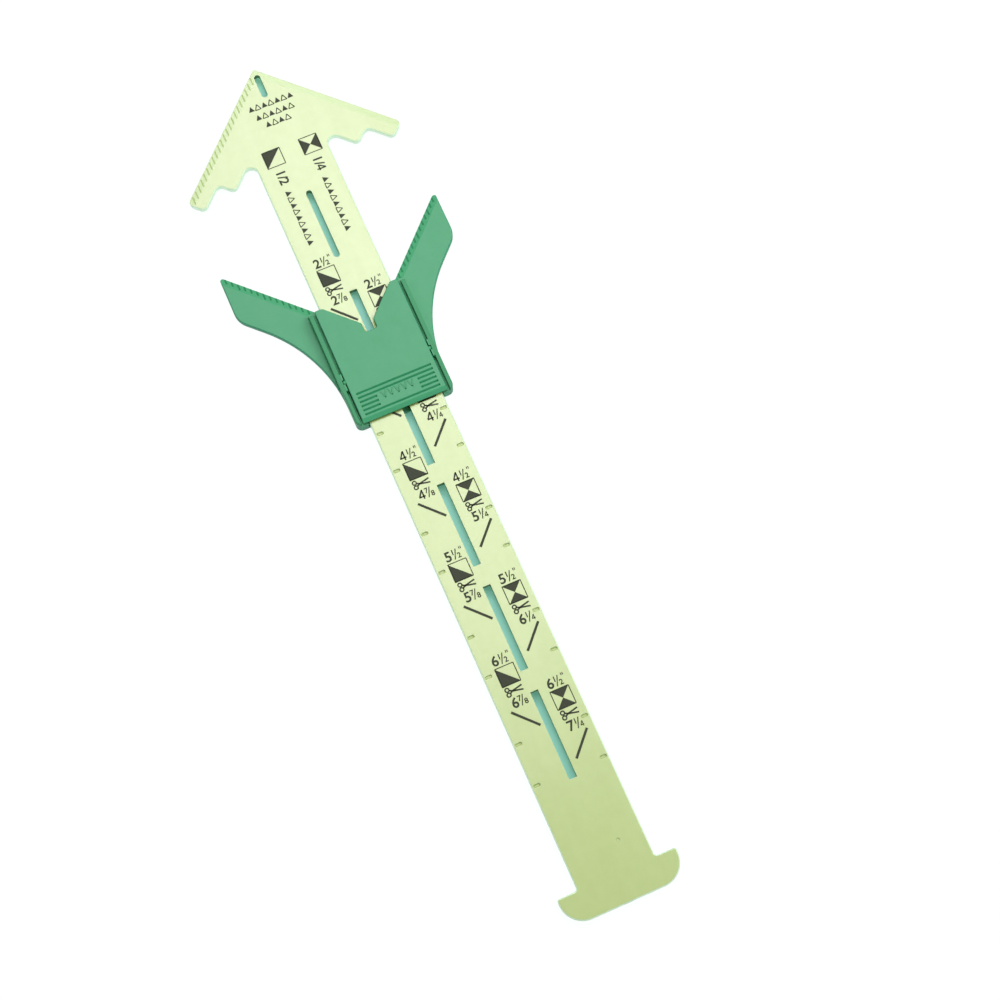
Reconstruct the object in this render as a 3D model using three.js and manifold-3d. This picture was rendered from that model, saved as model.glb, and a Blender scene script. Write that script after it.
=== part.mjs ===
// Sliding sewing ruler: an arrow-headed blade, a slider with two 45 degree wings that runs along it,
// and a rocker plate in the slider whose two teeth catch in dimples along the blade.
// Millimetres. +X across the blade, +Y toward the arrow head, +Z up; the part lies on Z = 0.
// A station is the distance from the sharp point of the head, measured along the blade toward the foot.
// Sizes of the slider are measured along the blade from the point of its V, positive toward the foot.

import * as THREE from 'three';
import { mergeVertices } from 'three/addons/utils/BufferGeometryUtils.js';
import Module from 'manifold-3d';

const wasm = await Module();
wasm.setup();

// Scale of the tool: one inch of a square's side is this long across its diagonal
const inch = 25.4;
const sizeStep = inch * Math.SQRT2;

// Blade
const bladeLength = 299.8;
const bladeWidth = 25.1;
const bladeThickness = 2.0;
const bladeEdgeChamfer = 0.3;

// Arrow head
const headHalfWidth = 38;
const seamWidth = 6.35;
const doubleSeamWidth = 12.7;
const barbStepLength = 10.05;
const headTipRound = 0.8;
const barbTipRound = 1.9;
const barbHeelRound = 1.9;
const stepInnerRound = 2.0;
const stepOuterRound = 2.0;
const neckRound = 2.4;
const headBevelWidth = 2.3;
const headBevelDrop = 0.25;

// Foot
const footLength = 9.1;
const footWidth = 38.4;
const footCornerRound = 7.5;
const footShoulderRound = 0.8;
const footNeckRound = 1.0;

// Sight slots in the blade
const tipSlotStation = 2.6;
const tipSlotLength = 8.9;
const neckSlotStation = 49.2;
const neckSlotLength = 25.9;
const roundSlotWidth = 2.0;
const sizeSlotWidth = 2.5;
const sizeSlotLength = 28.8;

// Squares that the tool cuts, by the length of their side in inches at the V
const firstHalfSquare = 2.875;
const firstQuarterSquare = 3.25;
const sizeCount = 5;

// Detent dimples near both edges of the blade, and the teeth that drop into them
const dimpleLength = 1.0;
const dimpleWidth = 2.2;
const dimpleRound = 0.4;
const dimpleDepth = 0.35;
const dimpleEdgeDistance = 1.7;
const toothAhead = 2.3;
const toothLength = 0.7;
const toothWidth = 1.6;
const toothTip = 0.2;
const toothGap = 0.12;

// Mark left by the mould's gate, a shallow round in the blade's top near the foot
const gateMarkStation = 282.4;
const gateMarkSide = 4.5;
const gateMarkRadius = 0.6;
const gateMarkDepth = 0.15;

// Slider frame
const sliderSquare = 2.875;
const floorThickness = 1.4;
const runningGap = 0.3;
const wingThickness = 2.0;
const wingHalfSpan = 38.1;
const wingSideLength = 17.1;
const wingBevelWidth = 2.3;
const wingBevelDrop = 0.6;
const wingTipRound = 0.8;
const wingShoulderRound = 7;
const wingSweepRound = 50;
const frameEdgeChamfer = 0.3;
const frameRear = 29.3;
const frameRearRound = 2.0;
const guideFront = -13;
const railThickness = 1.35;
const railEdgeChamfer = 0.4;
const railRampLength = 1.7;
const railRampRound = 1;

// Rocker plate
const plateRise = 1.8;
const plateHalfWidth = 14.4;
const plateSideGap = 0.9;
const plateLead = 0.8;
const plateFront = -12.6;
const plateRear = 28.9;
const plateRearSlope = 1.4;
const plateUnderGap = 0.5;
const plateEdgeChamfer = 0.2;
const plateRearRound = 0.6;
const plateFrontRound = 1.0;
const plateCornerRound = 0.6;
const notchHalfWidth = 2.1;
const notchDepth = 0.5;
const notchRound = 0.9;
const keeperRibThickness = 1.6;

// Grip grooves on the rear of the rocker plate
const grooveCount = 6;
const fullGroovesAhead = 2;
const fullGroovesBehind = 1;
const firstGroove = 19;
const groovePitch = 1.5;
const grooveWidth = 0.8;
const grooveDepth = 0.4;
const gripHalfWidth = 12.8;
const gripPanelHalfWidth = 7;

// Pivot: stub trunnions of the rocker in snap saddles of the rails
const pivotBehind = 13.7;
const pivotBelowTop = 0.85;
const trunnionRadius = 0.8;
const trunnionLength = 0.65;
const saddleGap = 0.2;
const saddleNeck = 1.5;
const saddleEndGap = 0.2;
const earLength = 2.4;
const earGap = 0.3;
const earRound = 0.4;
const rockAngle = 1.8;

// Return springs: one bowed steel strip in a well of each guide
const springLength = 10;
const springWidth = 0.8;
const springStrip = 0.25;
const springSeatGap = 0.1;
const wellBehind = 22;
const wellWall = 0.45;
const wellFloor = 1.5;
const wellGap = 0.25;

// How far a chord may stand off its arc
const arcTolerance = 0.02;

// Worked out from the sizes above
const cutRoot = Math.SQRT1_2;
const tipSetback = headTipRound * (Math.SQRT2 - 1);
const headPointY = bladeLength / 2 + tipSetback;
const footEnd = bladeLength + tipSetback;
const footShoulder = footEnd - footLength;
const bladeHalf = bladeWidth / 2;
const bladeBottom = floorThickness + runningGap;
const bladeTop = bladeBottom + bladeThickness;
const channelHalf = bladeHalf + runningGap;
const plateTop = bladeTop + plateRise;
const plateUnder = bladeTop + plateUnderGap;
const railInner = plateHalfWidth + plateSideGap;
const frameHalf = railInner + railThickness;
const sliderStation = sliderSquare * sizeStep;
const pivotZ = plateTop - pivotBelowTop;
const rockSlope = Math.tan(THREE.MathUtils.degToRad(rockAngle));
const saddleRadius = trunnionRadius + saddleGap;
const dimpleSide = bladeHalf - dimpleEdgeDistance;
const tall = 40;
const wide = 100;

const stationY = (station) => headPointY - station;
const sliderY = (behind) => stationY(sliderStation + behind);

// Materials
const limePlastic = new THREE.MeshStandardMaterial({ color: 0xdcebb4, roughness: 0.38, metalness: 0 });
const greenPlastic = new THREE.MeshStandardMaterial({ color: 0x66b083, roughness: 0.42, metalness: 0 });
const springSteel = new THREE.MeshStandardMaterial({ color: 0xb9bcc0, roughness: 0.3, metalness: 1 });

// A geometry's shared corners are merged, so that it is one closed body
function toSolid(geometry) {
  const bare = geometry.clone();
  bare.deleteAttribute('normal');
  bare.deleteAttribute('uv');
  const merged = mergeVertices(bare);
  const vertProperties = new Float32Array(merged.attributes.position.array);
  const triVerts = new Uint32Array(merged.index.array);
  return new wasm.Manifold(new wasm.Mesh({ numProp: 3, vertProperties, triVerts }));
}

function toMesh(name, solid, material) {
  const { vertProperties, triVerts } = solid.getMesh();
  const geometry = new THREE.BufferGeometry();
  geometry.setAttribute('position', new THREE.BufferAttribute(vertProperties, 3));
  geometry.setIndex(new THREE.BufferAttribute(triVerts, 1));
  geometry.computeVertexNormals();
  const mesh = new THREE.Mesh(geometry, material);
  mesh.name = name;
  return mesh;
}

const joined = (solids) => solids.reduce((sum, solid) => sum.add(solid));
const cutBy = (solid, cutters) => cutters.reduce((left, cutter) => left.subtract(cutter), solid);
const bothSides = (solid) => [solid, solid.mirror([1, 0, 0])];

// An outline through corners [x, y, round]; each corner is rounded by an arc tangent to its two sides
function outline(corners) {
  const points = [];
  corners.forEach(([x, y, round = 0], i) => {
    const corner = new THREE.Vector2(x, y);
    if (round === 0) {
      points.push(corner);
      return;
    }
    const [px, py] = corners[(i + corners.length - 1) % corners.length];
    const [nx, ny] = corners[(i + 1) % corners.length];
    const back = new THREE.Vector2(px, py).sub(corner).normalize();
    const ahead = new THREE.Vector2(nx, ny).sub(corner).normalize();
    const opening = Math.acos(THREE.MathUtils.clamp(back.dot(ahead), -1, 1));
    const reach = round / Math.tan(opening / 2);
    const centre = back.clone().add(ahead).normalize()
      .multiplyScalar(round / Math.sin(opening / 2)).add(corner);
    const start = back.clone().multiplyScalar(reach).add(corner).sub(centre);
    const turn = Math.PI - opening;
    const side = Math.sign(back.cross(ahead));
    const chord = 2 * Math.acos(1 - Math.min(arcTolerance / round, 0.5));
    const steps = Math.max(2, Math.ceil(turn / chord));
    for (let k = 0; k <= steps; k += 1) {
      const angle = -side * turn * k / steps;
      points.push(start.clone().rotateAround(new THREE.Vector2(), angle).add(centre));
    }
  });
  return new THREE.Shape(points);
}

// Corners [side, station, round] down the right side, with the left side as their mirror image
function mirroredOutline(right, toY) {
  const down = right.map(([side, place, round]) => [side, toY(place), round]);
  const up = right.map(([side, place, round]) => [-side, toY(place), round]).reverse();
  return outline([...down, ...up.filter(([side]) => side !== 0)]);
}

function prism(shape, low, high) {
  const geometry = new THREE.ExtrudeGeometry(shape, { depth: high - low, bevelEnabled: false });
  return toSolid(geometry.translate(0, 0, low));
}

// A prism whose top and bottom edges are chamfered
function chamferedPrism(shape, low, high, chamfer) {
  const geometry = new THREE.ExtrudeGeometry(shape, {
    depth: high - low - 2 * chamfer,
    bevelEnabled: true,
    bevelThickness: chamfer,
    bevelSize: chamfer,
    bevelOffset: -chamfer,
    bevelSegments: 1,
  });
  return toSolid(geometry.translate(0, 0, low + chamfer));
}

// A block between two corners
function block(x0, x1, y0, y1, z0, z1) {
  const geometry = new THREE.BoxGeometry(Math.abs(x1 - x0), Math.abs(y1 - y0), Math.abs(z1 - z0));
  return toSolid(geometry.translate((x0 + x1) / 2, (y0 + y1) / 2, (z0 + z1) / 2));
}

// A block in the slider, between two places behind the V's point
const sliderBlock = (x0, x1, front, rear, z0, z1) => block(x0, x1, sliderY(front), sliderY(rear), z0, z1);

// A side view drawn as [behind, z, round] in the slider, given width across the blade from x0 to x1
function sideProfile(corners, x0, x1) {
  const shape = outline(corners.map(([behind, z, round]) => [-behind, z, round]));
  const geometry = new THREE.ExtrudeGeometry(shape, { depth: x1 - x0, bevelEnabled: false });
  geometry.rotateX(Math.PI / 2).rotateZ(Math.PI / 2);
  return toSolid(geometry.translate(x0, sliderY(0), 0));
}

// A slot along the blade's centre line, from one station over a length
function slot(station, length, width, round) {
  const half = width / 2;
  const shape = outline([
    [half, stationY(station), round],
    [half, stationY(station + length), round],
    [-half, stationY(station + length), round],
    [-half, stationY(station), round],
  ]);
  return prism(shape, bladeBottom - 1, bladeTop + 1);
}

// The head and the barbs: lines at 45 degrees set off from the outer edge by the two seam widths
function bladeShape() {
  const seamLine = seamWidth / cutRoot;
  const doubleLine = doubleSeamWidth / cutRoot;
  const barbEnd = 2 * headHalfWidth;
  const barbStep = barbEnd - 2 * barbStepLength * cutRoot;
  const meet = (along, across, round) => [(across - along) / 2, (across + along) / 2, round];
  return mirroredOutline([
    [0, 0, headTipRound],
    [headHalfWidth, headHalfWidth, barbTipRound],
    meet(seamLine, barbEnd, barbHeelRound),
    meet(seamLine, barbStep, stepInnerRound),
    meet(doubleLine, barbStep, stepOuterRound),
    [bladeHalf, doubleLine + bladeHalf, neckRound],
    [bladeHalf, footShoulder, footNeckRound],
    [footWidth / 2, footShoulder, footShoulderRound],
    [footWidth / 2, footEnd, footCornerRound],
  ], stationY);
}

// Takes a sloping band off the top of the 45 degree edge that runs left from a point on the centre line.
// The turn is that of the edge's inner side, away from +X.
function edgeBevel(turn, pointY, top, width, drop, halfSpan) {
  const reach = halfSpan * Math.SQRT2;
  const past = 1;
  const section = outline([
    [width, top],
    [width, top + past],
    [-past, top + past],
    [-past, top - drop - drop / width * past],
  ]);
  const geometry = new THREE.ExtrudeGeometry(section, { depth: reach + 2 * past, bevelEnabled: false });
  geometry.translate(0, 0, -past).rotateX(Math.PI / 2).rotateZ(turn);
  return toSolid(geometry.translate(0, pointY, 0));
}

const headBevel = () => edgeBevel(
  -Math.PI / 4, headPointY, bladeTop, headBevelWidth, headBevelDrop, headHalfWidth,
);
const wingBevel = () => edgeBevel(
  -3 * Math.PI / 4, sliderY(0), wingThickness, wingBevelWidth, wingBevelDrop, wingHalfSpan,
);

// Two dimples, one near each edge, for the place where the V stands at a size
function dimplePair(station) {
  const outer = dimpleSide + dimpleWidth / 2;
  const inner = dimpleSide - dimpleWidth / 2;
  const head = stationY(station - toothAhead - dimpleLength / 2);
  const foot = stationY(station - toothAhead + dimpleLength / 2);
  const shape = outline([
    [outer, head, dimpleRound],
    [outer, foot, dimpleRound],
    [inner, foot, dimpleRound],
    [inner, head, dimpleRound],
  ]);
  return bothSides(prism(shape, bladeTop - dimpleDepth, bladeTop + 1));
}

function gateMark() {
  const mark = new THREE.CylinderGeometry(gateMarkRadius, gateMarkRadius, 2 * gateMarkDepth, 16);
  return toSolid(mark.rotateX(Math.PI / 2).translate(gateMarkSide, stationY(gateMarkStation), bladeTop));
}

function makeBlade() {
  const body = chamferedPrism(bladeShape(), bladeBottom, bladeTop, bladeEdgeChamfer);
  const roundEnd = roundSlotWidth / 2 - 0.01;
  const cutters = [
    ...bothSides(headBevel()),
    slot(tipSlotStation, tipSlotLength, roundSlotWidth, roundEnd),
    slot(neckSlotStation, neckSlotLength, roundSlotWidth, roundEnd),
    gateMark(),
  ];
  for (let k = 0; k < sizeCount; k += 1) {
    const halfSquare = (firstHalfSquare + k) * sizeStep;
    const quarterSquare = (firstQuarterSquare + k) * sizeStep;
    cutters.push(slot(quarterSquare - sizeSlotLength, sizeSlotLength, sizeSlotWidth, 0));
    cutters.push(...dimplePair(halfSquare), ...dimplePair(quarterSquare));
  }
  return cutBy(body, cutters);
}

// Plan view of the slider: V, wing tip, shoulder, sweep into the rails, rear corner
function frameShape() {
  const sweepStart = -wingHalfSpan + wingSideLength;
  return mirroredOutline([
    [0, 0],
    [wingHalfSpan, -wingHalfSpan, wingTipRound],
    [wingHalfSpan, sweepStart, wingShoulderRound],
    [frameHalf, sweepStart + wingHalfSpan - frameHalf, wingSweepRound],
    [frameHalf, frameRear, frameRearRound],
  ], sliderY);
}

// A guide beside the blade, level with the blade's top, and the rail on it, on the +X side
function guideAndRail() {
  const guide = sliderBlock(channelHalf, frameHalf, guideFront, frameRear, 0, bladeTop);
  const rail = sideProfile([
    [guideFront, 0],
    [guideFront, wingThickness],
    [guideFront + railRampLength, plateTop, railRampRound],
    [frameRear, plateTop],
    [frameRear, 0],
  ], railInner, frameHalf);
  return guide.add(rail);
}

// The boss that closes the gap at the pivot, on the +X side
function pivotEar() {
  const reach = saddleNeck / 2 + earLength;
  const inner = plateHalfWidth + earGap;
  return sideProfile([
    [pivotBehind - reach, bladeTop - runningGap],
    [pivotBehind - reach, plateTop, earRound],
    [pivotBehind + reach, plateTop, earRound],
    [pivotBehind + reach, bladeTop - runningGap],
  ], inner, railInner + railThickness / 2);
}

// The saddle's round seat and the neck that opens it upward, on the +X side
function saddleCut() {
  const inner = plateHalfWidth - 1;
  const outer = plateHalfWidth + trunnionLength + saddleEndGap;
  const seat = new THREE.CylinderGeometry(saddleRadius, saddleRadius, outer - inner, 24);
  seat.rotateZ(Math.PI / 2).translate((inner + outer) / 2, sliderY(pivotBehind), pivotZ);
  const half = saddleNeck / 2;
  const neck = sliderBlock(inner, outer, pivotBehind - half, pivotBehind + half, pivotZ, plateTop + 1);
  return toSolid(seat).add(neck);
}

// The well that holds one return spring, on the +X side
function springWell() {
  const half = springLength / 2 + wellGap;
  const inner = channelHalf + wellWall;
  const outer = inner + springWidth + 2 * wellGap;
  return sliderBlock(inner, outer, wellBehind - half, wellBehind + half, wellFloor, plateTop);
}

function makeFrame() {
  const plan = frameShape();
  const flat = chamferedPrism(plan, 0, wingThickness, frameEdgeChamfer);
  const wings = cutBy(flat, bothSides(wingBevel()));
  const channel = block(-channelHalf, channelHalf, -wide * 2, wide * 2, floorThickness, tall);
  const outside = chamferedPrism(plan, 0, plateTop, railEdgeChamfer);
  const upright = joined(bothSides(guideAndRail())).intersect(outside);
  const body = joined([wings.subtract(channel), upright, ...bothSides(pivotEar())]);
  return cutBy(body, [...bothSides(saddleCut()), ...bothSides(springWell())]);
}

// Plan view of the rocker plate; its V stands a little ahead of the V of the wings
const plateShape = () => mirroredOutline([
  [notchHalfWidth, notchDepth, notchRound],
  [notchHalfWidth, -plateLead - notchHalfWidth, notchRound],
  [-plateLead - plateFront, plateFront, plateFrontRound],
  [plateHalfWidth, plateFront, plateCornerRound],
  [plateHalfWidth, plateRear, plateCornerRound],
], sliderY);

// Side view of the rocker plate: a sloping rear face, and an underside that leaves room to rock down
const plateProfile = () => sideProfile([
  [plateFront - 1, plateUnder],
  [plateFront - 1, plateTop],
  [plateRear - plateRearSlope, plateTop, plateRearRound],
  [plateRear, plateUnder + (plateRear - pivotBehind) * rockSlope],
  [pivotBehind, plateUnder],
], -wide, wide);

// One grip groove, a V in section, between two places across
const groove = (behind, x0, x1) => sideProfile([
  [behind - grooveWidth, plateTop + grooveDepth],
  [behind, plateTop - grooveDepth],
  [behind + grooveWidth, plateTop + grooveDepth],
], x0, x1);

function gripGrooves() {
  const grooves = [];
  for (let k = 0; k < grooveCount; k += 1) {
    const behind = firstGroove + k * groovePitch;
    const full = k < fullGroovesAhead || k >= grooveCount - fullGroovesBehind;
    if (full) grooves.push(groove(behind, -gripHalfWidth, gripHalfWidth));
    else grooves.push(...bothSides(groove(behind, gripPanelHalfWidth, gripHalfWidth)));
  }
  return grooves;
}

// The rib under the pivot that keeps the blade down
const keeperRib = () => sliderBlock(
  -bladeHalf,
  bladeHalf,
  pivotBehind - keeperRibThickness / 2,
  pivotBehind + keeperRibThickness / 2,
  bladeTop + runningGap,
  plateTop - plateEdgeChamfer - grooveDepth,
);

// A tooth under the plate, on the +X side
function tooth() {
  const half = toothLength / 2;
  const low = bladeTop + toothGap;
  return sideProfile([
    [-toothAhead - half, plateTop - plateEdgeChamfer - grooveDepth],
    [-toothAhead - half, low + toothTip],
    [-toothAhead - half + toothTip, low],
    [-toothAhead + half - toothTip, low],
    [-toothAhead + half, low + toothTip],
    [-toothAhead + half, plateTop - plateEdgeChamfer - grooveDepth],
  ], dimpleSide - toothWidth / 2, dimpleSide + toothWidth / 2);
}

// A stub trunnion with its root in the plate, on the +X side
function trunnion() {
  const inner = plateHalfWidth - trunnionLength;
  const outer = plateHalfWidth + trunnionLength;
  const stub = new THREE.CylinderGeometry(trunnionRadius, trunnionRadius, outer - inner, 24);
  return toSolid(stub.rotateZ(Math.PI / 2).translate((inner + outer) / 2, sliderY(pivotBehind), pivotZ));
}

function makeRocker() {
  const plate = chamferedPrism(plateShape(), plateUnder, plateTop, plateEdgeChamfer)
    .intersect(plateProfile());
  const body = joined([plate, keeperRib(), ...bothSides(tooth()), ...bothSides(trunnion())]);
  return cutBy(body, gripGrooves());
}

// A bowed strip: its feet stand in the well and its crown is under the plate's side wall
function makeSpring(side) {
  const reach = springLength / 2;
  const foot = wellFloor + springSeatGap;
  const crown = plateUnder + (wellBehind - pivotBehind) * rockSlope - springSeatGap;
  const rise = crown - foot - springStrip;
  const steps = 12;
  const bow = (lift, way) => Array.from({ length: steps + 1 }, (_, k) => {
    const along = way * (2 * k / steps - 1);
    const height = (1 - along * along) ** 2 * rise;
    return [wellBehind + along * reach, foot + height + lift];
  });
  const inner = channelHalf + wellWall + wellGap;
  const strip = sideProfile([...bow(0, 1), ...bow(springStrip, -1)], inner, inner + springWidth);
  return side > 0 ? strip : strip.mirror([1, 0, 0]);
}

const group = new THREE.Group();
group.add(
  toMesh('blade', makeBlade(), limePlastic),
  toMesh('slider_frame', makeFrame(), greenPlastic),
  toMesh('rocker_plate', makeRocker(), greenPlastic),
  toMesh('spring_left', makeSpring(-1), springSteel),
  toMesh('spring_right', makeSpring(1), springSteel),
);

export default group;
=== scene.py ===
# Sliding sewing ruler. Sizes are written in millimetres and turned to metres where a piece is made.
# +Y points to the arrow head. A station is the distance from the head's point toward the foot.
import math

import bmesh
import bpy
from mathutils import Matrix, Vector


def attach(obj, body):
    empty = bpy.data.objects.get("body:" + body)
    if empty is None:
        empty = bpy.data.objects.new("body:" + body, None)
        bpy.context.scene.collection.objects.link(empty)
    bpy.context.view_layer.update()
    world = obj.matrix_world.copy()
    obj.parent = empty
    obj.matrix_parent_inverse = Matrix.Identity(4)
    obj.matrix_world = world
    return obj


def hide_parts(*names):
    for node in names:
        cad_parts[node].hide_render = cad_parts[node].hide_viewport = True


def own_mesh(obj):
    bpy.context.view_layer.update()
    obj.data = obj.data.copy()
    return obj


mm = 0.001
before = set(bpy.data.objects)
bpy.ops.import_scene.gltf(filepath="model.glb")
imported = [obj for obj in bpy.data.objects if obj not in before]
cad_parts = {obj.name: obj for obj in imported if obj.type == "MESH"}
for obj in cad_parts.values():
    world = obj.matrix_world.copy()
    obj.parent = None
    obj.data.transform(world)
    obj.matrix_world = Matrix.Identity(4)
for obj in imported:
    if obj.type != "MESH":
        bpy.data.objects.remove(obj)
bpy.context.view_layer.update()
print("frame loaded:", ", ".join(sorted(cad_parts)))

ruler = {
    "headPoint": 150.2314,                # Y of the head's point
    "top": 3.7,                           # top of the blade
    "sizeStep": 25.4 * math.sqrt(2),      # one inch of square side, along the blade
    "sliderStation": 2.875 * 25.4 * math.sqrt(2),  # corner between the wings
    "tickPitch": 25.4 / 16,               # strokes of the scales, in sixteenths of an inch
    "wingTop": 2.0,
    "plateTop": 5.5,                      # top of the thumb plate
}


def linearColour(code):
    # sRGB hex to the linear colour that shaders take
    parts = [int(code[i:i + 2], 16) / 255 for i in (1, 3, 5)]
    return tuple(c / 12.92 if c <= 0.04045 else ((c + 0.055) / 1.055) ** 2.4 for c in parts) + (1.0,)


def addNode(tree, kind, settings=None, values=None, links=None):
    # adds a node, sets its options and inputs, and links other nodes' outputs to its inputs
    node = tree.nodes.new(kind)
    for key, value in (settings or {}).items():
        setattr(node, key, value)
    for key, value in (values or {}).items():
        node.inputs[key].default_value = value
    for key, source in (links or {}).items():
        tree.links.new(source, node.inputs[key])
    return node


def newMaterial(name):
    material = bpy.data.materials.new(name)
    material.use_nodes = True
    tree = material.node_tree
    tree.nodes.clear()
    return material, tree


def metresToPattern(tree, sizeMm, stretch=(1, 1, 1)):
    # object coordinates scaled so that one unit of a pattern is sizeMm wide
    spot = addNode(tree, "ShaderNodeTexCoord")
    repeats = [1000 / sizeMm * s for s in stretch]
    return addNode(tree, "ShaderNodeMapping", values={"Scale": repeats},
                   links={"Vector": spot.outputs["Object"]}).outputs["Vector"]


def sideAndHeight(tree):
    # distance from the centre line, and height
    spot = addNode(tree, "ShaderNodeTexCoord")
    parts = addNode(tree, "ShaderNodeSeparateXYZ", links={"Vector": spot.outputs["Object"]})
    away = addNode(tree, "ShaderNodeMath", {"operation": "ABSOLUTE"}, links={0: parts.outputs["X"]})
    return away.outputs["Value"], parts.outputs["Z"]


def edgeShare(tree, radiusMm, low, high):
    # 0 on a flat face, rising to 1 on a rounded edge
    rounded = addNode(tree, "ShaderNodeBevel", {"samples": 6}, {"Radius": radiusMm * mm})
    flat = addNode(tree, "ShaderNodeNewGeometry")
    match = addNode(tree, "ShaderNodeVectorMath", {"operation": "DOT_PRODUCT"},
                    links={0: rounded.outputs["Normal"], 1: flat.outputs["Normal"]})
    share = addNode(tree, "ShaderNodeMapRange", {"interpolation_type": "SMOOTHSTEP"},
                    {"From Min": high, "From Max": low, "To Min": 0.0, "To Max": 1.0},
                    {"Value": match.outputs["Value"]})
    return share.outputs["Result"], rounded.outputs["Normal"]


def creviceShare(tree, reachMm, openAt, closedAt):
    # 0 on an open face, rising to 1 deep in a groove or a gap
    around = addNode(tree, "ShaderNodeAmbientOcclusion", {"samples": 8}, {"Distance": reachMm * mm})
    share = addNode(tree, "ShaderNodeMapRange", {"interpolation_type": "SMOOTHSTEP"},
                    {"From Min": openAt, "From Max": closedAt, "To Min": 0.0, "To Max": 1.0},
                    {"Value": around.outputs["AO"]})
    return share.outputs["Result"]


def tiltShare(tree, flatter, steeper):
    # 0 where a face lies flat, 1 where it is steep; the two limits are heights of its unit normal
    face = addNode(tree, "ShaderNodeNewGeometry")
    parts = addNode(tree, "ShaderNodeSeparateXYZ", links={"Vector": face.outputs["True Normal"]})
    height = addNode(tree, "ShaderNodeMath", {"operation": "ABSOLUTE"}, links={0: parts.outputs["Z"]})
    share = addNode(tree, "ShaderNodeMapRange", values={"From Min": flatter, "From Max": steeper},
                    links={"Value": height.outputs["Value"]})
    return share.outputs["Result"]


def centreShare(tree, halfMm):
    # 1 within halfMm of the centre line, 0 outside
    away, height = sideAndHeight(tree)
    return addNode(tree, "ShaderNodeMath", {"operation": "LESS_THAN"}, {1: halfMm * mm},
                   {0: away}).outputs["Value"]


def railShare(tree, innerMm, floorMm):
    # 1 on what is farther than innerMm from the centre line and higher than floorMm
    away, height = sideAndHeight(tree)
    outside = addNode(tree, "ShaderNodeMath", {"operation": "GREATER_THAN"}, {1: innerMm * mm}, {0: away})
    high = addNode(tree, "ShaderNodeMath", {"operation": "GREATER_THAN"}, {1: floorMm * mm}, {0: height})
    return addNode(tree, "ShaderNodeMath", {"operation": "MULTIPLY"},
                   links={0: outside.outputs["Value"], 1: high.outputs["Value"]}).outputs["Value"]


def blendColour(tree, share, amount, under, over):
    # lays the colour over on the colour under by a share, at most by amount
    part = addNode(tree, "ShaderNodeMath", {"operation": "MULTIPLY"}, {1: amount}, {0: share})
    mixed = addNode(tree, "ShaderNodeMixRGB",
                    values={"Color1": (0, 0, 0, 1), "Color2": linearColour(over)},
                    links={"Fac": part.outputs["Value"]})
    if under:
        tree.links.new(under, mixed.inputs["Color1"])
    return mixed.outputs["Color"]


# What both plastics share. Limits in pairs are the two ends of a smooth change.
moulding = {
    "cloudLimits": (0.3, 0.7),      # noise values at which the cloudy colour starts and is full
    "streakLimits": (0.45, 0.75),
    "grainLimits": (0.3, 0.7),
    "slopeLimits": (0.998, 0.994),  # heights of the unit normal: flat, and on a bevel
    "sideLimits": (0.97, 0.6),      # on a bevel, and on a wall
    "slotLimits": (0.6, 0.2),
    "edgeLimits": (0.75, 0.98),     # match of the rounded and the flat normal
    "glossSpread": 0.02,
    "grainStrength": 0.5,
    "scatterMm": 1.5,               # how far light spreads inside
    "scatterRadius": (1.0, 1.2, 0.7),
}


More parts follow.
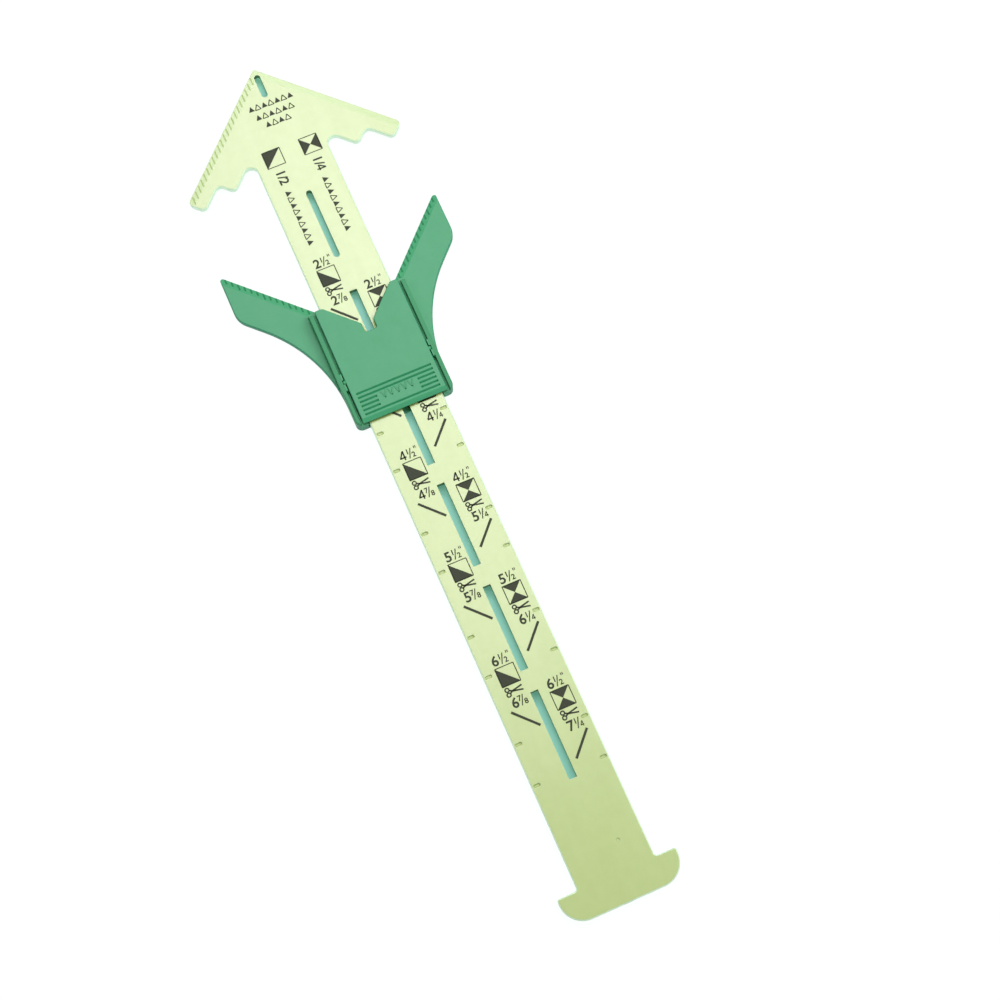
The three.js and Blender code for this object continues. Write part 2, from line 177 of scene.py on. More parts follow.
# Injection-moulded plastic from a fine spark-eroded mould: cloudy colour, satin grain, painted highlights
# on the edges, and painted light and shade on bevels, walls and hollows
def mouldedPlastic(name, look):
    material, tree = newMaterial(name)
    cloud = addNode(tree, "ShaderNodeTexNoise", values={"Scale": 1.0, "Detail": 3.0, "Roughness": 0.55},
                    links={"Vector": metresToPattern(tree, look["cloudMm"])})
    flow = addNode(tree, "ShaderNodeTexNoise", values={"Scale": 1.0, "Detail": 2.0},
                   links={"Vector": metresToPattern(tree, look["flowMm"], look["flowStretch"])})
    grain = addNode(tree, "ShaderNodeTexNoise", values={"Scale": 1.0, "Detail": 2.0, "Roughness": 0.6},
                    links={"Vector": metresToPattern(tree, look["grainMm"])})
    cloudMin, cloudMax = moulding["cloudLimits"]
    mottle = addNode(tree, "ShaderNodeMapRange", values={"From Min": cloudMin, "From Max": cloudMax},
                     links={"Value": cloud.outputs["Fac"]})
    body = addNode(tree, "ShaderNodeMixRGB",
                   values={"Color1": linearColour(look["colour"]),
                           "Color2": linearColour(look["cloudColour"])},
                   links={"Fac": mottle.outputs["Result"]})
    streakMin, streakMax = moulding["streakLimits"]
    streak = addNode(tree, "ShaderNodeMapRange",
                     values={"From Min": streakMin, "From Max": streakMax,
                             "To Min": 0.0, "To Max": look["flowShare"]},
                     links={"Value": flow.outputs["Fac"]})
    streaked = addNode(tree, "ShaderNodeMixRGB", values={"Color2": linearColour(look["flowColour"])},
                       links={"Fac": streak.outputs["Result"], "Color1": body.outputs["Color"]})
    # painted light and shade: bevelled faces take their own colour, paler on the blade and a deeper green
    # on the slider, standing in for the light they catch
    slopeShaded = blendColour(tree, tiltShare(tree, *moulding["slopeLimits"]), look["slopeShare"],
                         streaked.outputs["Color"], look["paintedSlopeShading"])
    # painted light and shade: steep walls take their own colour, paler on the blade and a darker teal on
    # the slider, standing in for light from the table
    side = tiltShare(tree, *moulding["sideLimits"])
    walls = blendColour(tree, side, look["wallShare"], slopeShaded, look["paintedWallShading"])
    if "rail" in look:
        # painted shade: the tops of the rails take a darker colour
        rail = look["rail"]
        walls = blendColour(tree, railShare(tree, rail["innerMm"], rail["floorMm"]), 1.0, walls,
                            rail["colour"])
    # painted highlight: rounded edges take a lighter colour, mint white on the blade and a brighter green
    # on the slider
    share, roundNormal = edgeShare(tree, look["edgeMm"], *moulding["edgeLimits"])
    edgeHighlighted = blendColour(tree, share, look["edgeShare"], walls, look["edgeHighlightColour"])
    # painted shade: hollows, grooves and gaps take a darker colour, olive on the blade and deep green on
    # the slider
    crevice = creviceShare(tree, look["creviceMm"], *look["creviceFrom"])
    shaded = blendColour(tree, crevice, look["creviceShare"], edgeHighlighted, look["creviceShadeColour"])
    outer = side
    if "slot" in look:
        # the walls of the slots on the centre line are deep in shade
        deep = addNode(tree, "ShaderNodeMath", {"operation": "MULTIPLY"},
                       links={0: tiltShare(tree, *moulding["slotLimits"]),
                              1: centreShare(tree, look["slot"]["halfMm"])})
        shaded = blendColour(tree, deep.outputs["Value"], look["slot"]["share"], shaded,
                             look["slot"]["colour"])
        outer = addNode(tree, "ShaderNodeMath", {"operation": "SUBTRACT", "use_clamp": True},
                        links={0: side, 1: deep.outputs["Value"]}).outputs["Value"]
    # painted glow: the open walls give off light in the wall colour, standing in for light that the
    # plastic has gathered and lets out at its open edges
    outer = addNode(tree, "ShaderNodeMath", {"operation": "SUBTRACT", "use_clamp": True},
                    links={0: outer, 1: crevice})
    glow = blendColour(tree, outer.outputs["Value"], 1.0, None, look["paintedWallShading"])
    grainMin, grainMax = moulding["grainLimits"]
    gloss = addNode(tree, "ShaderNodeMapRange",
                    values={"From Min": grainMin, "From Max": grainMax,
                            "To Min": look["roughness"] - moulding["glossSpread"],
                            "To Max": look["roughness"] + moulding["glossSpread"]},
                    links={"Value": grain.outputs["Fac"]})
    # the mould is less polished in hollows, so they mirror less of the lamps
    roughness = addNode(tree, "ShaderNodeMath", {"operation": "MULTIPLY_ADD", "use_clamp": True},
                        {1: look["creviceRoughness"]}, {0: crevice, 2: gloss.outputs["Result"]})
    bump = addNode(tree, "ShaderNodeBump",
                   values={"Strength": moulding["grainStrength"], "Distance": look["grainDepthMm"] * mm},
                   links={"Height": grain.outputs["Fac"], "Normal": roundNormal})
    shader = addNode(tree, "ShaderNodeBsdfPrincipled",
                     values={"IOR": look["ior"], "Specular IOR Level": look["sheen"],
                             "Subsurface Weight": look["translucence"],
                             "Subsurface Radius": moulding["scatterRadius"],
                             "Subsurface Scale": moulding["scatterMm"] * mm,
                             "Emission Strength": look["paintedGlowStrength"]},
                     links={"Base Color": shaded, "Roughness": roughness.outputs["Value"],
                            "Emission Color": glow, "Normal": bump.outputs["Normal"]})
    addNode(tree, "ShaderNodeOutputMaterial", links={"Surface": shader.outputs["BSDF"]})
    return material


# General-purpose polystyrene, opaque pale lime: slightly translucent, so shadows in it look soft
limePolystyrene = mouldedPlastic("limePolystyrene", {
    "colour": "#C0D67D", "cloudColour": "#BCD278",
    "paintedSlopeShading": "#D4EEA6", "slopeShare": 0.8,
    "flowColour": "#C8DE8C", "flowMm": 6.0, "flowStretch": (1, 0.25, 1), "flowShare": 0.35,
    "paintedWallShading": "#C3E6CF", "wallShare": 0.8,
    "edgeHighlightColour": "#E2F3E0", "edgeShare": 0.6, "edgeMm": 0.25,
    "creviceShadeColour": "#A8B45A", "creviceShare": 0.35, "creviceMm": 1.2, "creviceFrom": (0.87, 0.7),
    "slot": {"halfMm": 1.6, "colour": "#267220", "share": 0.9},
    "cloudMm": 3.5, "grainMm": 0.4, "grainDepthMm": 0.006,
    "roughness": 0.3, "creviceRoughness": 0.5, "ior": 1.6, "sheen": 1.0,
    "translucence": 0.15, "paintedGlowStrength": 0.35,
})

# ABS moulding in a clear mid green, a little rougher than the blade
greenAbs = mouldedPlastic("greenAbs", {
    "colour": "#5BAF7E", "cloudColour": "#5FB282",
    "paintedSlopeShading": "#46AD74", "slopeShare": 0.8,
    "flowColour": "#66B586", "flowMm": 5.0, "flowStretch": (1, 0.5, 1), "flowShare": 0.3,
    "paintedWallShading": "#3D9A7E", "wallShare": 0.6,
    "edgeHighlightColour": "#4FB97F", "edgeShare": 0.6, "edgeMm": 0.25,
    "creviceShadeColour": "#007A30", "creviceShare": 0.9, "creviceMm": 0.9, "creviceFrom": (0.85, 0.4),
    "rail": {"innerMm": 15.1, "floorMm": 5.0, "colour": "#479F6B"},
    "cloudMm": 4.0, "grainMm": 0.35, "grainDepthMm": 0.01,
    "roughness": 0.48, "creviceRoughness": 0.4, "ior": 1.53, "sheen": 0.25,
    "translucence": 0.08, "paintedGlowStrength": 0.0,
})


# Pad-printed ink, charcoal with an olive cast: thin, satin, a little uneven in density
inkLook = {"colour": "#33372A", "thin": "#434936", "patchMm": 0.7, "bump": 0.3, "depthMm": 0.005,
           "roughness": 0.6, "ior": 1.45, "sheen": 0.3}


def padPrintInk():
    material, tree = newMaterial("padPrintInk")
    density = addNode(tree, "ShaderNodeTexNoise", values={"Scale": 1.0, "Detail": 3.0},
                      links={"Vector": metresToPattern(tree, inkLook["patchMm"])})
    colour = addNode(tree, "ShaderNodeMixRGB",
                     values={"Color1": linearColour(inkLook["colour"]),
                             "Color2": linearColour(inkLook["thin"])},
                     links={"Fac": density.outputs["Fac"]})
    bump = addNode(tree, "ShaderNodeBump",
                   values={"Strength": inkLook["bump"], "Distance": inkLook["depthMm"] * mm},
                   links={"Height": density.outputs["Fac"]})
    shader = addNode(tree, "ShaderNodeBsdfPrincipled",
                     values={"Roughness": inkLook["roughness"], "IOR": inkLook["ior"],
                             "Specular IOR Level": inkLook["sheen"]},
                     links={"Base Color": colour.outputs["Color"], "Normal": bump.outputs["Normal"]})
    addNode(tree, "ShaderNodeOutputMaterial", links={"Surface": shader.outputs["BSDF"]})
    return material


# The same plastics as a moulded stroke, duller and darker: painted shade for the edges of the stroke,
# which shade the land beside them
strokeLook = {"patchMm": 0.6, "roughness": 0.5, "ior": 1.53, "sheen": 0.25}


def strokeShade(name, colour, deep):
    material, tree = newMaterial(name)
    grain = addNode(tree, "ShaderNodeTexNoise", values={"Scale": 1.0, "Detail": 2.0},
                    links={"Vector": metresToPattern(tree, strokeLook["patchMm"])})
    mixed = addNode(tree, "ShaderNodeMixRGB",
                    values={"Color1": linearColour(colour), "Color2": linearColour(deep)},
                    links={"Fac": grain.outputs["Fac"]})
    shader = addNode(tree, "ShaderNodeBsdfPrincipled",
                     values={"Roughness": strokeLook["roughness"], "IOR": strokeLook["ior"],
                             "Specular IOR Level": strokeLook["sheen"]},
                     links={"Base Color": mixed.outputs["Color"]})
    addNode(tree, "ShaderNodeOutputMaterial", links={"Surface": shader.outputs["BSDF"]})
    return material


# Cold-rolled spring strip: bright steel with fine rolling lines along the strip
steelLook = {"colour": "#B9BCC0", "lineMm": 0.15, "stretch": (1, 0.03, 1), "roughness": (0.2, 0.4),
             "bump": 0.3, "depthMm": 0.003}


def rolledSteel():
    material, tree = newMaterial("rolledSpringSteel")
    lines = addNode(tree, "ShaderNodeTexNoise", values={"Scale": 1.0, "Detail": 4.0},
                    links={"Vector": metresToPattern(tree, steelLook["lineMm"], steelLook["stretch"])})
    smooth, rough = steelLook["roughness"]
    gloss = addNode(tree, "ShaderNodeMapRange", values={"To Min": smooth, "To Max": rough},
                    links={"Value": lines.outputs["Fac"]})
    bump = addNode(tree, "ShaderNodeBump",
                   values={"Strength": steelLook["bump"], "Distance": steelLook["depthMm"] * mm},
                   links={"Height": lines.outputs["Fac"]})
    shader = addNode(tree, "ShaderNodeBsdfPrincipled",
                     values={"Base Color": linearColour(steelLook["colour"]), "Metallic": 1.0},
                     links={"Roughness": gloss.outputs["Result"], "Normal": bump.outputs["Normal"]})
    addNode(tree, "ShaderNodeOutputMaterial", links={"Surface": shader.outputs["BSDF"]})
    return material


ink = padPrintInk()
limeStroke = strokeShade("limePolystyreneStroke", "#C2D78A", "#B6CC7A")
greenStroke = strokeShade("greenAbsStroke", "#1F8A55", "#1A824E")
springSteel = rolledSteel()
for nodeName, finish in (("blade", limePolystyrene), ("slider_frame", greenAbs),
                         ("rocker_plate", greenAbs)):
    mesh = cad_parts[nodeName].data
    mesh.materials.clear()
    mesh.materials.append(finish)
print("materials made")


def place(side, station, z):
    return Vector((side, ruler["headPoint"] - station, z)) * mm


def finishPiece(sheet, name, body, finish):
    # a bmesh becomes a named piece on a CAD body
    bmesh.ops.recalc_face_normals(sheet, faces=sheet.faces)
    mesh = bpy.data.meshes.new(name)
    sheet.to_mesh(mesh)
    sheet.free()
    mesh.materials.append(finish)
    piece = bpy.data.objects.new(name, mesh)
    bpy.context.scene.collection.objects.link(piece)
    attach(piece, body)
    return piece


def addPrism(sheet, lowCorners, highCorners):
    # closed side walls and two caps between two rings of points
    low = [sheet.verts.new(p) for p in lowCorners]
    high = [sheet.verts.new(p) for p in highCorners]
    sheet.faces.new(low[::-1])
    sheet.faces.new(high)
    count = len(low)
    for i in range(count):
        j = (i + 1) % count
        sheet.faces.new((low[i], low[j], high[j], high[i]))


def addRib(sheet, start, end, width, low, high):
    # a straight bar from start to end, both given as side and station
    a, b = Vector(start), Vector(end)
    across = (b - a).normalized().orthogonal() * width / 2
    corners = [a + across, b + across, b - across, a - across]
    addPrism(sheet, [place(x, s, low) for x, s in corners], [place(x, s, high) for x, s in corners])


# Return springs: a bowed steel strip in the well of each guide. The real strip flattens under the rocking
# plate; here it keeps its bow.
springStrip = {
    "inner": 13.55,            # side of the strip that faces the blade
    "width": 0.8,
    "length": 10,
    "behind": 22,              # middle of the strip, behind the slider's station
    "foot": 1.6,
    "crown": 4.11,             # underside of the strip at its middle
    "thick": 0.25,
    "steps": 32,
    "pressed": 0.92,           # height left with the plate fully down, as a share
}


def bowedSpring(name, node, side):
    sheet = bmesh.new()
    middle = ruler["sliderStation"] + springStrip["behind"]
    rings = []
    for step in range(springStrip["steps"] + 1):
        along = 2 * step / springStrip["steps"] - 1
        low = springStrip["foot"] + (1 - along * along) ** 2 * (springStrip["crown"] - springStrip["foot"])
        station = middle + along * springStrip["length"] / 2
        wide, thick = springStrip["width"], springStrip["thick"]
        rings.append([sheet.verts.new(place(side * (springStrip["inner"] + across), station, low + up))
                      for across, up in ((0, 0), (wide, 0), (wide, thick), (0, thick))])
    for ring, following in zip(rings, rings[1:]):
        for i in range(4):
            j = (i + 1) % 4
            sheet.faces.new((ring[i], ring[j], following[j], following[i]))
    sheet.faces.new(rings[0][::-1])
    sheet.faces.new(rings[-1])
    piece = finishPiece(sheet, name, "slider", springSteel)
    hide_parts(node)
    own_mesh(piece)


bowedSpring("bowedSpringLeft", "spring_left", -1)
bowedSpring("bowedSpringRight", "spring_right", 1)
print("springs made")


# Ink on the blade. Every mark is a thin film of ink on the plastic.
inkFilm = {
    "film": 0.03,              # height of the film, three times the real one, to stay clear of the plastic
    "sunk": 0.005,             # how far the film reaches into the plastic
    "outline": 0.28,           # outline of a square
    "fine": 0.3,               # outline of a small triangle
    "stroke": 0.5,             # strokes of the small signs
    "cutLine": 0.78,           # slanted line beside each size
    "bold": 0.02,              # widening of the digits, as a share of their size
    "digitShare": 0.7,         # height of a digit, as a share of the font's size
}


def inkShape(sheet, corners):
    addPrism(sheet, [place(x, s, ruler["top"] - inkFilm["sunk"]) for x, s in corners],
             [place(x, s, ruler["top"] + inkFilm["film"]) for x, s in corners])


def inkLine(sheet, start, end, width):
    addRib(sheet, start, end, width, ruler["top"] - inkFilm["sunk"], ruler["top"] + inkFilm["film"])


def inkRing(sheet, centre, radius, width, count=18):
    for k in range(count):
        a, b = (2 * math.pi * (k + n) / count for n in (0, 1))
        corners = [(centre[0] + r * math.cos(t), centre[1] + r * math.sin(t))
                   for r, t in ((radius, a), (radius, b), (radius - width, b), (radius - width, a))]
        inkShape(sheet, corners)


def textPlace(left, station, turned, right, up):
    # a place in a line of text; turned text runs toward the foot
    return (left + up, station + right) if turned else (left + right, station - up)


openFour = {
    "stroke": 0.15,            # all as shares of the digit's height
    "strokes": (((0.48, 0.0), (0.48, 1.0)), ((0.0, 0.28), (0.66, 0.28)), ((0.05, 0.3), (0.45, 0.94))),
}


def inkFour(sheet, left, station, height, turned):
    # a 4 of three strokes, so that its counter stays open
    for start, end in openFour["strokes"]:
        ends = [textPlace(left, station, turned, x * height, up * height) for x, up in (start, end)]
        inkLine(sheet, ends[0], ends[1], openFour["stroke"] * height)


def inkDigits(sheet, text, left, station, height, turned=False):
    # text set with its left end and base line at (left, station)
    if text == "4":
        inkFour(sheet, left, station, height, turned)
        return
    curve = bpy.data.curves.new("digits", "FONT")
    curve.body = text
    curve.size = height / inkFilm["digitShare"]
    curve.offset = inkFilm["bold"] * curve.size
    curve.resolution_u = 3
    curve.extrude = inkFilm["film"] / 2
    holder = bpy.data.objects.new("digits", curve)
    mesh = bpy.data.meshes.new_from_object(holder)
    mesh.transform(Matrix.Scale(mm, 4))
    mesh.transform(Matrix.Translation(place(left, station, ruler["top"] + inkFilm["film"] / 2))
                   @ Matrix.Rotation(-math.pi / 2 if turned else 0.0, 4, "Z"))
    sheet.from_mesh(mesh)
    bpy.data.objects.remove(holder)
    bpy.data.curves.remove(curve)
    bpy.data.meshes.remove(mesh)


mixedNumber = {
    "height": 3.15,            # whole number
    "fractionHeight": 1.7,
    "over": (2.25, 1.5),       # numerator: right and up from the label's corner
    "under": (3.95, 0.0),
    "slash": ((2.9, -0.1), (4.15, 3.2)),
    "slashWidth": 0.32,
    "inchMarks": (5.35, 5.85),
    "inchMarkLift": 0.3,       # top of the inch marks over the whole number
    "inchMarkHeight": 0.8,
    "inchMarkWidth": 0.26,
}


def inkMixedNumber(sheet, left, station, whole, over, under, inchMarks):
    look = mixedNumber
    inkDigits(sheet, whole, left, station, look["height"])
    for digit, (right, up) in ((over, look["over"]), (under, look["under"])):
        inkDigits(sheet, digit, left + right, station - up, look["fractionHeight"])
    ends = [(left + right, station - up) for right, up in look["slash"]]
    inkLine(sheet, ends[0], ends[1], look["slashWidth"])
    if inchMarks:
        for right in look["inchMarks"]:
            top = station - look["height"] - look["inchMarkLift"]
            inkLine(sheet, (left + right, top), (left + right, top + look["inchMarkHeight"]),
                    look["inchMarkWidth"])


def inkSquare(sheet, left, station, size, darkCorners):
    # an outlined square with dark triangles; corners are given in the square's own 0 to 1
    right, foot = left + size, station + size
    for a, b in (((left, station), (right, station)), ((right, station), (right, foot)),
                 ((right, foot), (left, foot)), ((left, foot), (left, station))):
        inkLine(sheet, a, b, inkFilm["outline"])
    for triangle in darkCorners:
        inkShape(sheet, [(left + x * size, station + s * size) for x, s in triangle])


scissors = {
    "length": 5.6,
    "ring": 0.82,
    "ringWidth": 0.42,
    "spread": 0.8,             # centre of a ring from the middle line
    "shank": 1.7,              # start of a shank, in ring radii
    "shankSpread": 0.5,
    "pivot": 2.3,
    "overlap": 0.1,            # how far the blades reach back past the pivot
    "tipSpread": 0.75,
}


def inkScissors(sheet, left, station):
    # small open scissors, cutting to the right
    look = scissors
    for side in (-1, 1):
        inkRing(sheet, (left + look["ring"], station + side * look["spread"]), look["ring"],
                look["ringWidth"])
        inkLine(sheet, (left + look["shank"] * look["ring"], station + side * look["shankSpread"]),
                (left + look["pivot"], station), inkFilm["stroke"])
        inkLine(sheet, (left + look["pivot"] - look["overlap"], station),
                (left + look["length"], station - side * look["tipSpread"]), inkFilm["stroke"])


halfTriangle = [[(0, 0), (0, 1), (1, 1)]]
quarterTriangles = [[(0, 0), (1, 0), (0.5, 0.5)], [(0, 1), (1, 1), (0.5, 0.5)]]
sizeMarks = {
    "squareSize": 6.05,
    "count": 5,
    "halfSquares": {"left": -8.31, "station": 77.2, "dark": halfTriangle, "over": "7", "under": "8",
                    "firstCut": 2, "line": ((-9.0, 14.0), (-2.4, 21.0))},
    "quarterSquares": {"left": 4.2, "station": 90.3, "dark": quarterTriangles, "over": "1", "under": "4",
                       "firstCut": 3, "line": ((10.0, 14.3), (3.3, 21.5))},
    "numberUp": 0.85,          # base line of the size, ahead of the square
    "signRight": 0.1,
    "signDown": 8.1,           # middle of the cutting sign, behind the square's head side
    "cutRight": 0.5,
    "cutDown": 13.3,           # base line of the cut size
    "firstSize": 2,            # whole inches of the first mark
}
for name in ("halfSquares", "quarterSquares"):
    marks = sizeMarks[name]
    sheet = bmesh.new()
    for k in range(sizeMarks["count"]):
        station = marks["station"] + k * ruler["sizeStep"]
        left = marks["left"]
        inkMixedNumber(sheet, left, station - sizeMarks["numberUp"], str(sizeMarks["firstSize"] + k),
                       "1", "2", True)
        inkSquare(sheet, left, station, sizeMarks["squareSize"], marks["dark"])
        inkScissors(sheet, left + sizeMarks["signRight"], station + sizeMarks["signDown"])
        inkMixedNumber(sheet, left + sizeMarks["cutRight"], station + sizeMarks["cutDown"],
                       str(marks["firstCut"] + k), marks["over"], marks["under"], False)
        (x0, s0), (x1, s1) = marks["line"]
        inkLine(sheet, (x0, station + s0), (x1, station + s1), inkFilm["cutLine"])
    finishPiece(sheet, name + "Print", "blade", ink)
print("size marks printed")

headMarks = {
    "squareSize": 6.2,
    "half": {"left": -9.1, "station": 30.6, "dark": [[(0, 0), (1, 0), (0, 1)]], "part": "2"},
    "quarter": {"left": 4.0, "station": 30.6,
                "dark": [[(0, 0), (0, 1), (0.5, 0.5)], [(1, 0), (1, 1), (0.5, 0.5)]], "part": "4"},
    "textStation": 38.6,
    "partStation": 41.9,       # the number under the stroke
    "textHeight": 3.1,
    "textBase": 1.75,          # base line of the turned text, right of the square's left side
    "rowStation": 46.6,        # the small triangles that run on from it
    "rowRight": 0.3,
    "rowCount": 9,
    "rowPitch": 2.4,
    "triangleSize": 2.0,
    "pointRows": ((12.9, -7.2, 7), (16.7, -6.0, 6), (20.2, -3.9, 4)),  # station, left end and count
    "pointPitch": 2.3,
}


def inkTriangleRow(sheet, left, station, alongX, count, pitch, size):
    # small triangles, alternately solid and open, in a row
    for k in range(count):
        x = left + (k * pitch if alongX else 0)
        s = station + (0 if alongX else k * pitch)
        if alongX:
            corners = [(x, s + size), (x + size, s + size), (x + size / 2, s)]
        else:
            corners = [(x, s), (x + size, s + size / 2), (x, s + size)]
        if k % 2 == 0:
            inkShape(sheet, corners)
        else:
            for a, b in zip(corners, corners[1:] + corners[:1]):
                inkLine(sheet, a, b, inkFilm["fine"])


sheet = bmesh.new()
for marks in (headMarks["half"], headMarks["quarter"]):
    inkSquare(sheet, marks["left"], marks["station"], headMarks["squareSize"], marks["dark"])
    base = marks["left"] + headMarks["textBase"]
    inkDigits(sheet, "1/", base, headMarks["textStation"], headMarks["textHeight"], True)
    inkDigits(sheet, marks["part"], base, headMarks["partStation"], headMarks["textHeight"], True)
    inkTriangleRow(sheet, base + headMarks["rowRight"], headMarks["rowStation"], False,
                   headMarks["rowCount"], headMarks["rowPitch"], headMarks["triangleSize"])
for station, left, count in headMarks["pointRows"]:
    inkTriangleRow(sheet, left, station, True, count, headMarks["pointPitch"], headMarks["triangleSize"])
finishPiece(sheet, "headPrint", "blade", ink)
print("head marks printed")

# Moulded scale strokes on the sloping edges of the wings and of the head's left side
scale = {
    "strokeSink": 0.02,
    "strokeRise": 0.03,
    # first is the side of the first stroke; width and drop are those of the sloping edge
    "wing": {"first": 14.4, "count": 15, "start": 0.25, "short": 1.8, "long": 2.4, "longEvery": 4,
             "stroke": 0.75, "width": 2.3, "drop": 0.6},
    "head": {"first": 2.2, "count": 22, "start": 0.5, "length": 2.9, "stroke": 0.45,
             "width": 2.3, "drop": 0.25},
}


def slopeHeight(top, width, drop, alongY):
    # height of a 45 degree bevel, alongY from its outer edge measured along the blade
    inward = min(alongY * math.sqrt(0.5), width)
    return top - drop * (1 - inward / width)


def addStroke(sheet, side, edgeStation, start, end, top, look):
    half = look["stroke"] / 2
    rings = []
    for rise in (-scale["strokeSink"], scale["strokeRise"]):
        ring = []
        for x, along in ((side - half, start), (side + half, start), (side + half, end),
                         (side - half, end)):
            z = slopeHeight(top, look["width"], look["drop"], max(along, 0.0)) + rise
            ring.append(place(x, edgeStation + along, z))
        rings.append(ring)
    addPrism(sheet, rings[0], rings[1])


for side, name in ((-1, "wingScaleLeft"), (1, "wingScaleRight")):
    look = scale["wing"]
    sheet = bmesh.new()
    for k in range(look["count"]):
        x = look["first"] + k * ruler["tickPitch"]
        reach = look["long"] if k % look["longEvery"] == 0 else look["short"]
        addStroke(sheet, side * x, ruler["sliderStation"] - x, look["start"], look["start"] + reach,
                  ruler["wingTop"], look)
    finishPiece(sheet, name, "slider", greenStroke)

look = scale["head"]
sheet = bmesh.new()
for k in range(look["count"]):
    x = look["first"] + k * ruler["tickPitch"]
    addStroke(sheet, -x, x, look["start"], look["start"] + look["length"], ruler["top"], look)
finishPiece(sheet, "headScale", "blade", limeStroke)
print("scales made")

# Raised chevrons between the grip grooves, pointing to the foot
chevrons = {
    "middle": 22.4,            # behind the slider's station
    "count": 5,
    "pitch": 2.3,
    "reach": 0.8,              # half of a chevron's width
    "half": 1.2,               # half of its length
    "width": 0.38,
    "sink": 0.02,
    "rise": 0.12,
}


sheet = bmesh.new()
for k in range(chevrons["count"]):
    x = (k - (chevrons["count"] - 1) / 2) * chevrons["pitch"]
    point = (x, ruler["sliderStation"] + chevrons["middle"] + chevrons["half"])
    for side in (-1, 1):
        start = (x + side * chevrons["reach"], point[1] - 2 * chevrons["half"])
        addRib(sheet, start, point, chevrons["width"], ruler["plateTop"] - chevrons["sink"],
               ruler["plateTop"] + chevrons["rise"])
finishPiece(sheet, "gripChevrons", "rocker", greenAbs)
print("grip finished")

# Studio: pale table, five soft panels above it, and a white surround
studio = {
    "tableSize": 6000,
    "tableDrop": 0.02,         # how far the table lies below the ruler
    "tableColour": "#F4F0F0",
    "whiteShare": 0.9,         # how much of the table's white comes from the surround
    "whiteColour": (1.05, 1.08, 1.075, 1),
    "fibreMm": 1.5,
    "fibreBump": 0.1,
    "fibreDepthMm": 0.05,
    # painted light: the paper under the blade is painted teal, seen directly and as lit paper
    "paintedUnderColour": "#8FDCCE",  # light that has come through the lime blade colours the paper under it
    "paintedUnderLitColour": "#BCFFF0",
    "underLit": 0.75,          # how far that paper shows real light and shadow in place of the even white
    "underMiddle": (0.35, 15),  # middle of the strip of such paper that the slots show
    "underHalf": (1.9, 133.6),  # half its width and half its length
    "underFade": 0.7,
    "fill": 0.15,              # light of the surround on the ruler
    # the two panels over the head end are slightly cool, because the lime is palest there
    "headKey": {"at": (45, 425, 540), "size": (260, 280), "power": 0.94, "tint": (0.99, 0.96, 1.1)},
    "middleKey": {"at": (65, 150, 570), "size": (200, 300), "power": 0.71, "tint": (0.99, 0.98, 1.04)},
    "side": {"at": (430, 0, 540), "size": (300, 400), "power": 1.5},
    "left": {"at": (-380, 120, 540), "size": (300, 400), "power": 0.4},
    "foot": {"at": (300, -480, 560), "size": (400, 400), "power": 0.8},
    "camera": {"at": (-53.99, -183.99, 567.92), "turn": (17.3343, 0.2120, -23.7127), "lens": 68.27,
               "sensor": 36, "clip": (0.01, 10)},
}


def surroundShare(tree):
    # 1 where the surround itself is seen, straight or through a reflection
    path = addNode(tree, "ShaderNodeLightPath")
    seen = addNode(tree, "ShaderNodeMath", {"operation": "MAXIMUM"},
                   links={0: path.outputs["Is Camera Ray"], 1: path.outputs["Is Glossy Ray"]})
    seen = addNode(tree, "ShaderNodeMath", {"operation": "MAXIMUM"},
                   links={0: seen.outputs["Value"], 1: path.outputs["Is Transmission Ray"]})
    return seen.outputs["Value"]


def underShare(tree):
    # 1 on the paper under the blade, fading to 0 beside it
    spot = addNode(tree, "ShaderNodeTexCoord")
    parts = addNode(tree, "ShaderNodeSeparateXYZ", links={"Vector": spot.outputs["Object"]})
    shares = []
    for axis, middle, half in zip("XY", studio["underMiddle"], studio["underHalf"]):
        off = addNode(tree, "ShaderNodeMath", {"operation": "SUBTRACT"}, {1: middle * mm},
                      {0: parts.outputs[axis]})
        away = addNode(tree, "ShaderNodeMath", {"operation": "ABSOLUTE"}, links={0: off.outputs["Value"]})
        fade = addNode(tree, "ShaderNodeMapRange", {"interpolation_type": "SMOOTHSTEP"},
                       {"From Min": half * mm, "From Max": (half + studio["underFade"]) * mm,
                        "To Min": 1.0, "To Max": 0.0},
                       {"Value": away.outputs["Value"]})
        shares.append(fade.outputs["Result"])
    return addNode(tree, "ShaderNodeMath", {"operation": "MULTIPLY"},
                   links={0: shares[0], 1: shares[1]}).outputs["Value"]


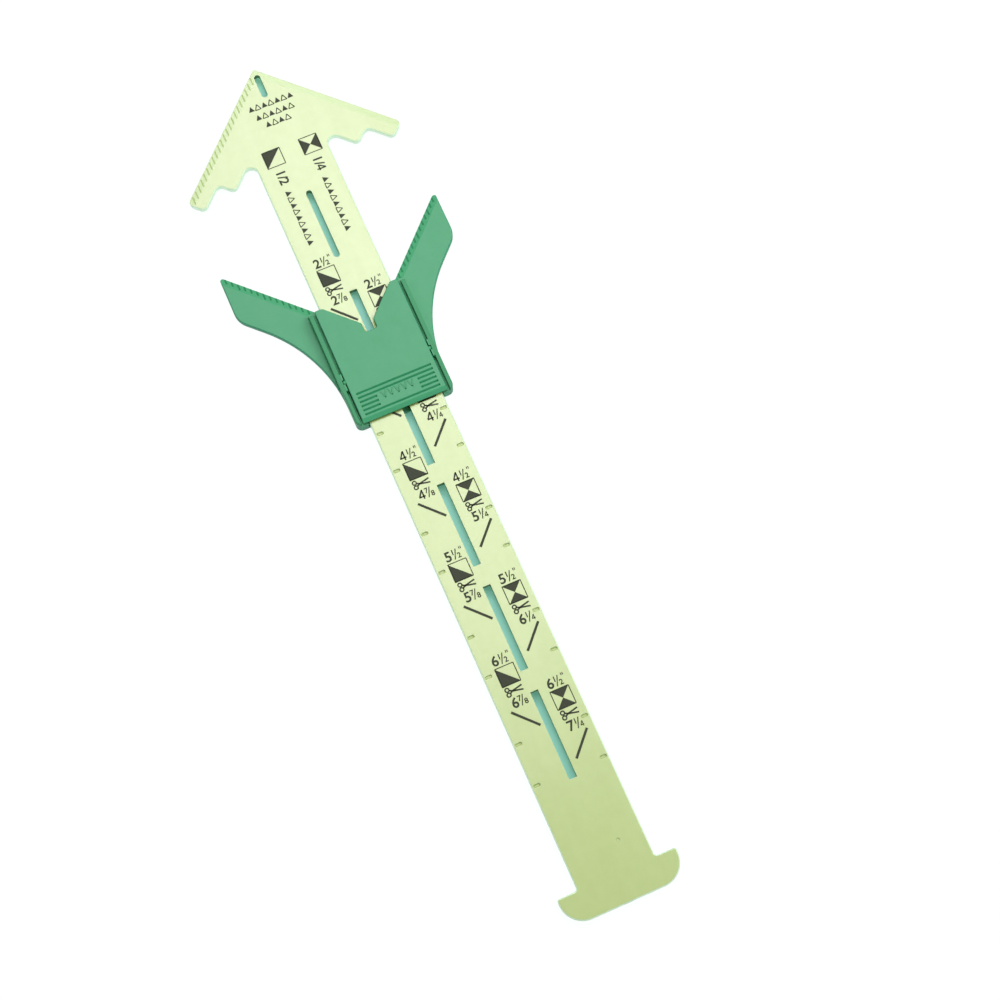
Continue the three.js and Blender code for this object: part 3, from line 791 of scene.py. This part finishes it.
def makeTable():
    material, tree = newMaterial("tablePaper")
    # painted light: a teal strip on the paper under the blade
    under = underShare(tree)
    seenColour = addNode(tree, "ShaderNodeMixRGB",
                         values={"Color1": studio["whiteColour"],
                                 "Color2": linearColour(studio["paintedUnderColour"])},
                         links={"Fac": under})
    litColour = addNode(tree, "ShaderNodeMixRGB",
                        values={"Color1": linearColour(studio["tableColour"]),
                                "Color2": linearColour(studio["paintedUnderLitColour"])},
                        links={"Fac": under})
    fibre = addNode(tree, "ShaderNodeTexNoise", values={"Scale": 1.0, "Detail": 3.0},
                    links={"Vector": metresToPattern(tree, studio["fibreMm"])})
    bump = addNode(tree, "ShaderNodeBump",
                   values={"Strength": studio["fibreBump"], "Distance": studio["fibreDepthMm"] * mm},
                   links={"Height": fibre.outputs["Fac"]})
    lit = addNode(tree, "ShaderNodeBsdfDiffuse",
                  links={"Color": litColour.outputs["Color"], "Normal": bump.outputs["Normal"]})
    glow = addNode(tree, "ShaderNodeEmission", values={"Strength": 1.0},
                   links={"Color": seenColour.outputs["Color"]})
    even = addNode(tree, "ShaderNodeMapRange",
                   values={"To Min": studio["whiteShare"],
                           "To Max": studio["whiteShare"] * (1 - studio["underLit"])},
                   links={"Value": under})
    share = addNode(tree, "ShaderNodeMath", {"operation": "MULTIPLY"},
                    links={0: surroundShare(tree), 1: even.outputs["Result"]})
    both = addNode(tree, "ShaderNodeMixShader",
                   links={0: share.outputs["Value"], 1: lit.outputs["BSDF"], 2: glow.outputs["Emission"]})
    addNode(tree, "ShaderNodeOutputMaterial", links={"Surface": both.outputs["Shader"]})
    half = studio["tableSize"] / 2 * mm
    mesh = bpy.data.meshes.new("table")
    mesh.from_pydata([(-half, -half, 0), (half, -half, 0), (half, half, 0), (-half, half, 0)], [],
                     [(0, 1, 2, 3)])
    mesh.materials.append(material)
    table = bpy.data.objects.new("table", mesh)
    table.location = (0, 0, -studio["tableDrop"] * mm)
    bpy.context.scene.collection.objects.link(table)


def makePanel(name, look):
    light = bpy.data.lights.new(name, "AREA")
    light.shape = "RECTANGLE"
    light.size, light.size_y = (side * mm for side in look["size"])
    light.energy = look["power"]
    light.color = look.get("tint", (1, 1, 1))
    lamp = bpy.data.objects.new(name, light)
    lamp.location = Vector(look["at"]) * mm
    lamp.rotation_euler = (-lamp.location).to_track_quat("-Z", "Y").to_euler()
    bpy.context.scene.collection.objects.link(lamp)


makeTable()
for panel in ("headKey", "middleKey", "side", "left", "foot"):
    makePanel(panel + "Panel", studio[panel])

world = bpy.data.worlds.new("studioSurround")
world.use_nodes = True
bpy.context.scene.world = world
surround = world.node_tree
surround.nodes.clear()
fill = addNode(surround, "ShaderNodeBackground",
               values={"Color": (1, 1, 1, 1), "Strength": studio["fill"]})
white = addNode(surround, "ShaderNodeBackground", values={"Color": (1, 1, 1, 1), "Strength": 1.0})
mixed = addNode(surround, "ShaderNodeMixShader",
                links={0: surroundShare(surround), 1: fill.outputs["Background"],
                       2: white.outputs["Background"]})
addNode(surround, "ShaderNodeOutputWorld", links={"Surface": mixed.outputs["Shader"]})

lens = bpy.data.cameras.new("photoCamera")
lens.sensor_width = studio["camera"]["sensor"]
lens.lens = studio["camera"]["lens"]
lens.clip_start, lens.clip_end = studio["camera"]["clip"]
camera = bpy.data.objects.new("photoCamera", lens)
camera.location = Vector(studio["camera"]["at"]) * mm
camera.rotation_euler = [math.radians(a) for a in studio["camera"]["turn"]]
bpy.context.scene.collection.objects.link(camera)
bpy.context.scene.camera = camera
bpy.context.scene.view_settings.view_transform = "Standard"
print("studio and camera set")
